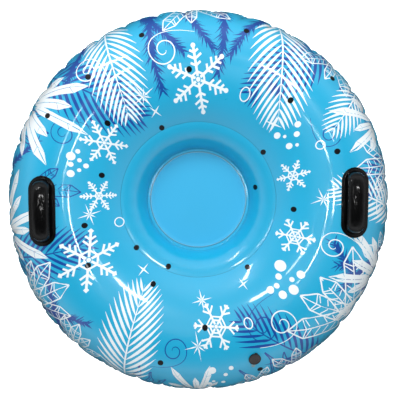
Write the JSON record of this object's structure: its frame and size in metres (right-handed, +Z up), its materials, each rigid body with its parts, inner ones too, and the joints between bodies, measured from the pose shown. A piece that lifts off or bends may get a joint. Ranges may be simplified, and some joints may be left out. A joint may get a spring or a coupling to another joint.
{
  "type": "snow tube",
  "caption": "Round inflatable snow tube with a closed seat, puckered outer weld, two grab handles and a screw-in air valve with a tethered cap.",
  "frame": {"origin": "on the ground, under the middle of the seat", "axes": "+Z up; +X from the left handle to the right handle; +Y away from the rider's side that has the air valve"},
  "size_m": [1.1944, 1.1944, 0.3413],
  "materials": {
    "printed_vinyl": "glossy printed vinyl",
    "base_vinyl": "semi-gloss heavy vinyl",
    "seat_vinyl": "glossy plain vinyl",
    "baffle_vinyl": "plain vinyl",
    "handle_vinyl": "glossy black vinyl",
    "handle_foam": "soft foam",
    "valve_plastic": "satin moulded plastic",
    "valve_rubber": "soft moulded rubber"
  },
  "bodies": {
    "root": {"top_skin": "printed_vinyl", "bottom_skin": "base_vinyl", "tie_baffle": "baffle_vinyl", "seat_floor": "seat_vinyl", "handle_base_left": "handle_vinyl", "handle_base_right": "handle_vinyl", "handle_grip_left": "handle_vinyl", "handle_grip_right": "handle_vinyl", "handle_core_left": "handle_foam", "handle_core_right": "handle_foam", "valve_base": "valve_plastic"},
    "valve_gasket": {"valve_gasket": "valve_rubber"},
    "valve_core": {"valve_core": "valve_plastic", "cap_tether": "valve_plastic"},
    "valve_cap": {"valve_cap": "valve_plastic"},
    "valve_flap": {"valve_flap": "valve_rubber"}
  },
  "joints": [
    {"name": "core_rise", "type": "slide", "parent": "root", "child": "valve_gasket", "axis": [0.1542, -0.4354, 0.8869], "range_m": [0, 0.0045]},
    {"name": "core_turn", "type": "hinge", "parent": "valve_gasket", "child": "valve_core", "pos_m": [0.16957, -0.47886, 0.28106], "axis": [0.1542, -0.4354, 0.8869], "range_deg": [0, 540]},
    {"name": "flap_open", "type": "slide", "parent": "valve_core", "child": "valve_flap", "axis": [-0.1542, 0.4354, -0.8869], "range_m": [0, 0.0015], "stiffness_N_per_m": 20, "springref_m": -0.001},
    {"name": "cap_flip", "type": "hinge", "parent": "valve_core", "child": "valve_cap", "pos_m": [0.17386, -0.46213, 0.29271], "axis": [-0.9713, 0.0978, 0.2169], "range_deg": [0, 135], "deforming": ["cap_tether"]}
  ],
  "couplings": [
    {"joint": "core_rise", "follows": "core_turn", "m_per_rad": 0.00047746}
  ]
}
